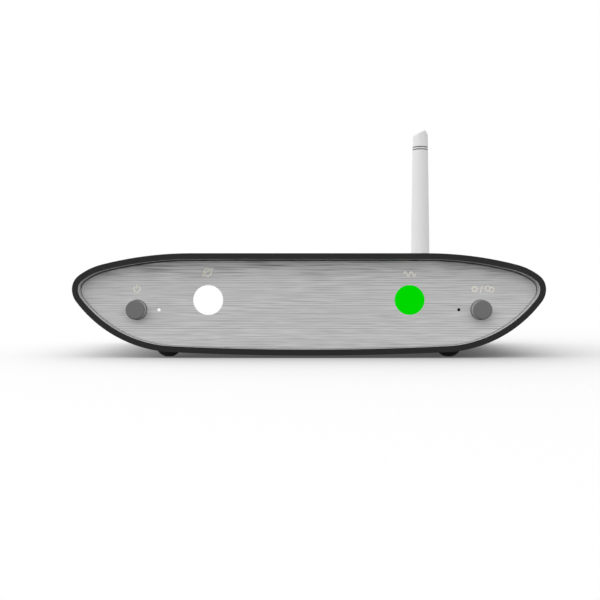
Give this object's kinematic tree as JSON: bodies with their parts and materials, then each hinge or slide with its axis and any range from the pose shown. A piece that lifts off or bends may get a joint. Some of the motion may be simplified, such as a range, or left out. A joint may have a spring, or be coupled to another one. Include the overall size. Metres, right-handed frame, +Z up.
{
  "type": "network music streamer",
  "caption": "Boat-shaped desktop box that streams music from a network, with a recessed brushed front panel, push buttons, round status lights, rear sockets and a hinged rod antenna.",
  "frame": {"origin": "on the table, under the centre of the box round the whole object at rest with the antenna upright", "axes": "+X to the right seen from the front, +Y from the front panel to the rear panel, +Z up"},
  "size_m": [0.158, 0.1226, 0.0993],
  "materials": {
    "sleeve_coat": "fine satin powder coat",
    "brushed_panel": "horizontally brushed",
    "bare_aluminium": "satin",
    "black_plastic": "matt moulded",
    "rear_coat": "matt black",
    "rubber": "matt",
    "steel": "plated",
    "gold": "gold plated",
    "board": "solder mask",
    "chip": "moulded epoxy",
    "lamp": "frosted",
    "white_light": "frosted, lit",
    "green_light": "frosted, lit",
    "dark_light": "smoked, unlit",
    "button": "satin",
    "tongue": "moulded",
    "antenna_plastic": "satin"
  },
  "bodies": {
    "case": {"outer_sleeve": "sleeve_coat", "front_panel": "brushed_panel", "heat_sink": "bare_aluminium", "front_carrier": "black_plastic", "link_strip": "black_plastic", "network_insert": "black_plastic", "coax_block": "black_plastic", "coax_insulator": "black_plastic", "mode_switch": "black_plastic", "power_inlet": "black_plastic", "antenna_lead": "black_plastic", "rear_panel": "rear_coat", "rubber_feet": "rubber", "carrier_screws": "steel", "rear_screws": "steel", "control_screws": "steel", "clock_cans": "steel", "wireless_shield": "steel", "network_shield": "steel", "usb_shells": "steel", "power_pin": "steel", "antenna_washer": "steel", "antenna_lock_nut": "steel", "antenna_coupling": "steel", "link_pin_row": "gold", "network_contacts": "gold", "usb_contacts": "gold", "coax_barrel": "gold", "coax_contact": "gold", "antenna_socket": "gold", "main_board": "board", "control_board": "board", "wireless_module": "board", "processor": "chip", "memory_chips": "chip", "storage_capacitors": "chip", "power_coils": "chip", "key_switches": "chip", "reset_switch": "chip", "lamp_chips": "lamp", "network_light": "white_light", "power_dot": "white_light", "rate_light": "green_light", "setup_dot": "dark_light", "usb_tongues": "tongue"},
    "power_button": {"power_button": "button", "power_plunger": "black_plastic"},
    "setup_button": {"setup_button": "button", "setup_plunger": "black_plastic"},
    "reset_button": {"reset_button": "button"},
    "mode_knob": {"mode_knob": "black_plastic"},
    "antenna_knuckle": {"antenna_knuckle": "antenna_plastic", "antenna_pin": "steel"},
    "antenna_mast": {"antenna_mast": "antenna_plastic"}
  },
  "joints": [
    {"name": "power_press", "type": "slide", "parent": "case", "child": "power_button", "axis": [0, 1, 0], "range_m": [0, 0.0008], "stiffness_N_per_m": 400, "springref_m": -0.002},
    {"name": "setup_press", "type": "slide", "parent": "case", "child": "setup_button", "axis": [0, 1, 0], "range_m": [0, 0.0008], "stiffness_N_per_m": 400, "springref_m": -0.002},
    {"name": "reset_press", "type": "slide", "parent": "case", "child": "reset_button", "axis": [0, -1, 0], "range_m": [0, 0.0004], "stiffness_N_per_m": 400, "springref_m": -0.002},
    {"name": "mode_turn", "type": "hinge", "parent": "case", "child": "mode_knob", "pos_m": [-0.04106, 0.03773, 0.0178], "axis": [0, -1, 0], "range_deg": [0, 150]},
    {"name": "antenna_swivel", "type": "hinge", "parent": "case", "child": "antenna_knuckle", "pos_m": [0.054, 0.04942, 0.0175], "axis": [0, 1, 0], "range_deg": [-90, 90]},
    {"name": "antenna_tilt", "type": "hinge", "parent": "antenna_knuckle", "child": "antenna_mast", "pos_m": [0.054, 0.05643, 0.0175], "axis": [-1, 0, 0], "range_deg": [0, 90]}
  ]
}
